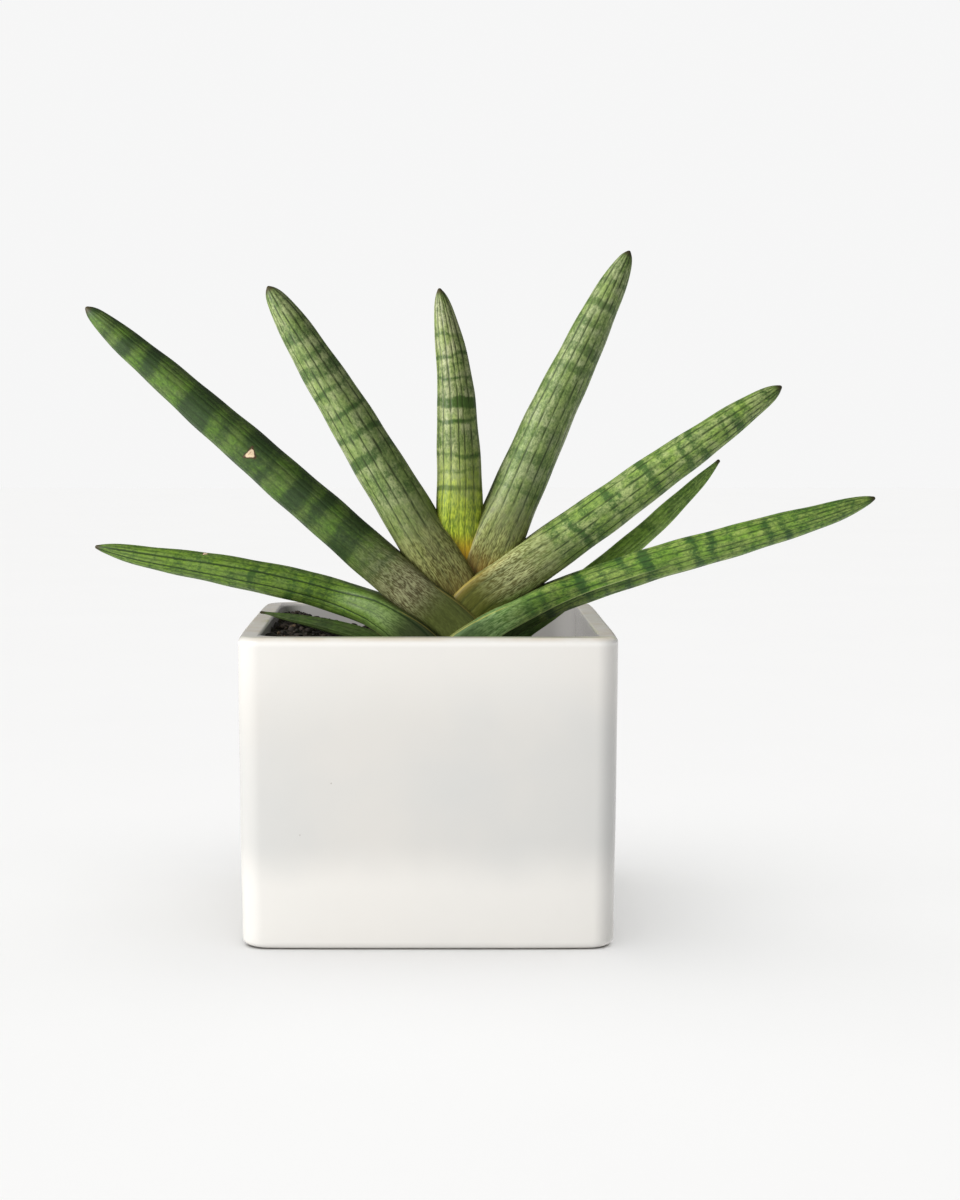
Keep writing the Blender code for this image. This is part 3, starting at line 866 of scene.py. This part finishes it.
def glaze_material():
    graph = Graph("white_glaze")
    place = graph.place()
    parts = graph.node("ShaderNodeSeparateXYZ", {0: place})
    height = parts.outputs["Z"]
    tone = graph.noise(place, scale=14.0, detail=3.0, roughness=0.55)
    color = graph.blend(graph.step(tone, 0.35, 0.65), *map(linear, GLAZE_TONES))

    # The glaze is whiter low down, a painted reflection of the floor in a wavy band above the
    # foot, and also whiter towards the top.
    drift = graph.noise(place, scale=30.0)
    wavy = graph.plus(height, graph.times(drift, GLAZE_DRIFT * MM))
    color = graph.stain(graph.step(wavy, FLOOR_REFLECTION_BAND[0] * MM, FLOOR_REFLECTION_BAND[1] * MM, 0.8, 0.0), color,
                        FLOOR_REFLECTION_TONE)
    color = graph.stain(graph.step(wavy, UPPER[0] * MM, UPPER[1] * MM, 0.0, 0.65), color,
                        UPPER_GLAZE)
    # Painted highlight: a whiter band along the rounded top edge.
    color = graph.stain(graph.step(height, EDGE_HIGHLIGHT_BAND[0] * MM, EDGE_HIGHLIGHT_BAND[1] * MM), color, EDGE_HIGHLIGHT)

    # Thin glaze over the rim shows the cream clay.
    patchy = graph.noise(place, scale=55.0, detail=3.0, roughness=0.6)
    bare = graph.times(graph.step(height, RIM[0] * MM, RIM[1] * MM),
                       graph.step(patchy, 0.35, 0.62, 0.2, 0.7))
    color = graph.stain(bare, color, CREAM_CLAY)

    # Painted shade: the inside is painted grey.
    from_middle = graph.math("MAXIMUM", graph.math("ABSOLUTE", parts.outputs["X"]),
                             graph.math("ABSOLUTE", parts.outputs["Y"]))
    wall_start, wall_end = (INNER_HALF_WIDTH + 0.1) * MM, (INNER_HALF_WIDTH + 0.7) * MM
    color = graph.stain(graph.step(from_middle, wall_start, wall_end, 0.9, 0.0), color,
                        INSIDE_SHADE)

    # A few faint pinholes.
    cells = graph.node("ShaderNodeTexVoronoi", {"Vector": place, "Scale": 95.0})
    chosen = graph.node("ShaderNodeSeparateColor", {0: cells.outputs["Color"]})
    rare = graph.step(chosen.outputs[0], 0.80, 0.81)
    size = graph.plus(graph.times(chosen.outputs[1], 0.018), 0.016)
    pinhole = graph.times(rare, graph.math("LESS_THAN", cells.outputs["Distance"], size))
    color = graph.stain(graph.times(pinhole, 0.5), color, PINHOLE)

    # The foot stands on bare clay.
    foot = graph.step(height, FOOT[0] * MM, FOOT[1] * MM, 1.0, 0.0)
    grit = graph.noise(place, scale=900.0)
    color = graph.blend(foot, color, graph.blend(grit, *map(linear, FOOT_CLAY)))
    roughness = graph.plus(graph.step(tone, 0.3, 0.7, 0.10, 0.16), graph.times(foot, 0.6))
    ripple = graph.noise(place, scale=32.0)
    normal = graph.bump(ripple, 0.25 * MM, 0.35)
    dent = graph.bump(graph.minus(1.0, pinhole), 0.15 * MM, 0.6, normal)
    return graph.finish(Base_Color=color, Roughness=roughness, Normal=dent,
                        Specular_IOR_Level=0.4)


def make_pot():
    mesh = grid_mesh("pot_shell", soften(pot_rows()))
    mesh.materials.append(glaze_material())
    return add_piece("pot_shell", mesh, "pot")


# ---- soil

# Heights and distances in millimetres, colours sRGB.
SOIL_LEFT = 105.0
SOIL_MIDDLE = 99.0
SOIL_RIGHT = 92.4
SOIL_BANK_START = 24.0
SOIL_BANK_RUN = 30.0
SOIL_STEP = 0.75
SOIL_SINK = 0.4
LUMP_SEED = 3.0
SHARP_ANGLE = 50.0
GRAIN_COUNT = 2600
GRAIN_SEED = 11
GRAIN_MARGIN = 2.5
DARK_PEAT = (26, 22, 19)
BROWN_PEAT = (48, 38, 30)
FIBRES = (70, 55, 41)
BARK_CHIPS = (104, 84, 60)
RHIZOME_TONES = ((176, 128, 78), (120, 80, 46))
RHIZOME_FIBRE = (90, 58, 34)


def soil_height(x, y):
    left = smoothstep((-x - SOIL_BANK_START) / SOIL_BANK_RUN)
    right = smoothstep((x - SOIL_BANK_START) / SOIL_BANK_RUN)
    height = SOIL_MIDDLE + (SOIL_LEFT - SOIL_MIDDLE) * left + (SOIL_RIGHT - SOIL_MIDDLE) * right
    return height + 0.7 * np.sin(x * 0.21 + 1.0) * np.sin(y * 0.17)


def lumps(points, seed):
    values = np.empty(len(points))
    for index, (x, y) in enumerate(points):
        coarse = noise.noise(Vector((x * 0.16, y * 0.16, seed)))
        middle = noise.noise(Vector((x * 0.42, y * 0.42, seed + 7.0)))
        fine = noise.noise(Vector((x * 1.1, y * 1.1, seed + 19.0)))
        values[index] = 1.3 * coarse + 0.9 * middle + 0.45 * fine
    return values


def soil_grid(half):
    """Square grid, its corners pulled in to follow the pot's, and its number of steps."""
    count = int(2.0 * half / SOIL_STEP)
    axis = np.linspace(-half, half, count + 1)
    x, y = np.meshgrid(axis, axis, indexing="ij")
    over_x = np.maximum(np.abs(x) - (half - INNER_CORNER), 0.0)
    over_y = np.maximum(np.abs(y) - (half - INNER_CORNER), 0.0)
    reach = np.maximum(np.hypot(over_x, over_y), 1e-6)
    pull = np.where(np.minimum(over_x, over_y) > 0.0, np.maximum(over_x, over_y) / reach, 1.0)
    x = np.sign(x) * (np.abs(x) - over_x * (1.0 - pull))
    y = np.sign(y) * (np.abs(y) - over_y * (1.0 - pull))
    return np.stack([x.ravel(), y.ravel()], axis=1), count


def soil_block(half, floor):
    """Points, in metres, and faces of the lumpy bed with its sides and its underside."""
    flat, count = soil_grid(half)
    top = soil_height(flat[:, 0], flat[:, 1]) + lumps(flat, LUMP_SEED) - SOIL_SINK
    size = count + 1
    faces = []
    for row in range(count):
        for column in range(count):
            first = row * size + column
            faces.append((first, first + size, first + size + 1, first + 1))
    rim = [row * size for row in range(size)]
    rim += [count * size + column for column in range(1, size)]
    rim += [row * size + count for row in range(count - 1, -1, -1)]
    rim += list(range(count - 1, 0, -1))
    lower = len(flat)
    for index, first in enumerate(rim):
        after = (index + 1) % len(rim)
        faces.append((rim[after], first, lower + index, lower + after))
    faces.append(tuple(reversed(range(lower, lower + len(rim)))))
    foot = np.column_stack([flat[rim], np.full(len(rim), floor)])
    points = np.vstack([np.column_stack([flat, top]), foot]) * MM
    return points.tolist(), faces


def make_soil():
    low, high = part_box("soil")
    half = high.x / MM
    points, faces = soil_block(half, low.z / MM)
    grain_points, grain_faces = scatter_grains(half, np.random.default_rng(GRAIN_SEED))
    start = len(points)
    points += grain_points
    faces += [tuple(index + start for index in face) for face in grain_faces]
    mesh = bpy.data.meshes.new("soil_bed")
    mesh.from_pydata(points, [], faces)
    mesh.shade_smooth()
    mesh.set_sharp_from_angle(angle=radians(SHARP_ANGLE))
    mesh.materials.append(soil_material())
    return add_piece("soil_bed", mesh, "soil")


def crumb():
    """Points and faces of a round crumb."""
    bm = bmesh.new()
    bmesh.ops.create_icosphere(bm, subdivisions=2, radius=1.0)
    points = np.array([vertex.co for vertex in bm.verts])
    faces = [tuple(vertex.index for vertex in face.verts) for face in bm.faces]
    bm.free()
    return points, faces


def scatter_grains(half, random):
    """Crumbs of peat and bark, half sunk in the surface."""
    shape, shape_faces = crumb()
    points = []
    faces = []
    for number in range(GRAIN_COUNT):
        x, y = random.uniform(-half + GRAIN_MARGIN, half - GRAIN_MARGIN, 2)
        size = 0.45 + 1.5 * random.random() ** 3
        stretch = random.uniform(0.6, 1.5, 3) * (1.0, 1.0, 0.7)
        turn = random.uniform(0.0, pi)
        z = soil_height(x, y) + random.uniform(-0.6, 0.3)
        rough = random.uniform(0.8, 1.12, (len(shape), 1))
        local = shape * rough * stretch * size
        cosine, sine = np.cos(turn), np.sin(turn)
        placed = np.stack([x + local[:, 0] * cosine - local[:, 1] * sine,
                           y + local[:, 0] * sine + local[:, 1] * cosine,
                           z + local[:, 2]], axis=1) * MM
        start = number * len(shape)
        points += placed.tolist()
        faces += [tuple(index + start for index in face) for face in shape_faces]
    return points, faces


def soil_material():
    graph = Graph("potting_mix")
    place = graph.place()
    coarse = graph.noise(place, scale=160.0, detail=4.0, roughness=0.7)
    fine = graph.noise(place, scale=900.0, detail=3.0, roughness=0.7)
    cells = graph.node("ShaderNodeTexVoronoi", {"Vector": place, "Scale": 260.0})
    pick = graph.node("ShaderNodeSeparateColor", {0: cells.outputs["Color"]}).outputs[0]
    color = graph.stain(graph.step(coarse, 0.35, 0.65), linear(DARK_PEAT), BROWN_PEAT)
    color = graph.stain(graph.step(fine, 0.52, 0.72), color, FIBRES)
    color = graph.stain(graph.step(pick, 0.93, 0.95, 0.0, 0.7), color, BARK_CHIPS)
    return graph.finish(Base_Color=color, Roughness=graph.step(coarse, 0.3, 0.7, 0.75, 0.95),
                        Normal=graph.bump(fine, 0.5 * MM, 0.7))


def dress_rhizome():
    """A bark material for the buried rhizome, which stays as its CAD solid."""
    graph = Graph("rhizome_bark")
    place = graph.place()
    rings = graph.noise(graph.scale(place, (1.0, 1.0, 6.0)), scale=90.0, detail=3.0)
    fibre = graph.noise(place, scale=700.0, detail=3.0, roughness=0.7)
    color = graph.blend(rings, *map(linear, RHIZOME_TONES))
    color = graph.stain(graph.step(fibre, 0.5, 0.7), color, RHIZOME_FIBRE)
    material = graph.finish(Base_Color=color, Roughness=graph.step(fibre, 0.3, 0.7, 0.7, 0.9),
                            Normal=graph.bump(fibre, 0.4 * MM, 0.7))
    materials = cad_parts["rhizome"].data.materials
    materials.clear()
    materials.append(material)


# ---- stage

# Powers in watts, places in metres, lamp colours linear.
KEY_POWER = 17.0
POT_KEY_POWER = 10.6
POT_FILL_POWER = 4.5
FLOOR_LIGHT = 2.512
FLOOR_LIGHT_ANGLE = 100.0
AMBIENT = 0.24
BACKDROP = 0.925
LAMP_SIZE = 0.55
LAMP_COLOR = (1.0, 0.985, 0.96)
LAMP_TARGET = (0.0, 0.0, 0.12)
WHITE = (1.0, 1.0, 1.0, 1.0)
WARM_WHITE = (1.0, 0.99, 0.97, 1.0)
FLOOR_HALF = 4.0
PAPER_TONES = ((246, 246, 246), (244, 244, 244))
CAMERA_PLACE = (0.0, -0.745, 0.1865)
CAMERA_PITCH = 5.45
CAMERA_LENS = 60.3
CAMERA_SENSOR = 36.0
CAMERA_SHIFT = 0.0433


def make_floor():
    mesh = bpy.data.meshes.new("studio_floor")
    corners = [(-1, -1), (1, -1), (1, 1), (-1, 1)]
    mesh.from_pydata([(x * FLOOR_HALF, y * FLOOR_HALF, 0.0) for x, y in corners],
                     [], [(0, 1, 2, 3)])
    graph = Graph("studio_paper")
    tooth = graph.noise(graph.place(), scale=8.0)
    color = graph.blend(tooth, *map(linear, PAPER_TONES))
    mesh.materials.append(graph.finish(Base_Color=color, Roughness=0.9))
    floor = add_to_scene("studio_floor", mesh)
    return floor


def add_softbox(name, place, power, objects, state):
    """A soft square lamp that lights only the given objects, or leaves them alone."""
    light = bpy.data.lights.new(name, "AREA")
    light.shape = "SQUARE"
    light.size = LAMP_SIZE
    light.energy = power
    light.color = LAMP_COLOR
    thing = add_to_scene(name, light)
    thing.location = place
    direction = Vector(LAMP_TARGET) - thing.location
    thing.rotation_euler = direction.to_track_quat("-Z", "Y").to_euler()
    link_light(thing, name + "_group", objects, state)
    return thing


def add_floor_light(floor):
    """An even light from above for the floor alone, so that it stays pale to the horizon."""
    light = bpy.data.lights.new("floor_light", "SUN")
    light.energy = FLOOR_LIGHT
    light.angle = radians(FLOOR_LIGHT_ANGLE)
    thing = add_to_scene("floor_light", light)
    thing.location = (0.0, 0.0, 2.0)
    link_light(thing, "floor_lit", [floor], "INCLUDE")


def link_light(thing, name, objects, state):
    group = bpy.data.collections.new(name)
    for item in objects:
        group.objects.link(item)
    thing.light_linking.receiver_collection = group
    for item in group.collection_objects:
        item.light_linking.link_state = state


def make_world():
    """A dim surround that lights the object, and a bright one that only the camera sees."""
    world = bpy.data.worlds.new("studio")
    world.use_nodes = True
    nodes = world.node_tree.nodes
    links = world.node_tree.links
    lit = nodes["Background"]
    seen = nodes.new("ShaderNodeBackground")
    for background, color, strength in ((seen, WHITE, BACKDROP), (lit, WARM_WHITE, AMBIENT)):
        background.inputs["Color"].default_value = color
        background.inputs["Strength"].default_value = strength
    rays = nodes.new("ShaderNodeLightPath")
    both = nodes.new("ShaderNodeMixShader")
    links.new(rays.outputs["Is Camera Ray"], both.inputs[0])
    links.new(lit.outputs[0], both.inputs[1])
    links.new(seen.outputs[0], both.inputs[2])
    links.new(both.outputs[0], nodes["World Output"].inputs[0])
    bpy.context.scene.world = world


def make_camera():
    camera = bpy.data.cameras.new("camera")
    camera.lens = CAMERA_LENS
    camera.sensor_width = CAMERA_SENSOR
    camera.shift_x = CAMERA_SHIFT
    camera.clip_start = 0.01
    thing = add_to_scene("camera", camera)
    thing.location = CAMERA_PLACE
    thing.rotation_euler = (radians(90.0 - CAMERA_PITCH), 0.0, 0.0)
    bpy.context.scene.camera = thing


def make_studio(pot):
    floor = make_floor()
    make_world()
    add_softbox("window", (-0.90, -0.38, 0.47), KEY_POWER, [floor, pot], "EXCLUDE")
    front = add_softbox("pot_window", (-0.76, -0.72, 0.62), POT_KEY_POWER, [pot], "INCLUDE")
    above = add_softbox("pot_fill", (0.25, 0.75, 0.95), POT_FILL_POWER, [pot], "INCLUDE")
    above.visible_glossy = False
    # Leaves cast no hard shadow on the pot, as in the photograph's even light.
    for lamp in (front, above):
        lamp.light_linking.blocker_collection = lamp.light_linking.receiver_collection
    add_floor_light(floor)
    make_camera()
    bpy.context.scene.view_settings.view_transform = "Standard"


# ---- build

def main():
    pot = make_pot()
    make_soil()
    dress_rhizome()
    inner_trees = []
    for leaf in LEAVES:
        data = make_leaf(leaf, inner_trees).data
        corners = [vertex.co.copy() for vertex in data.vertices]
        faces = [tuple(face.vertices) for face in data.polygons]
        inner_trees.append(BVHTree.FromPolygons(corners, faces))
    make_studio(pot)


main()
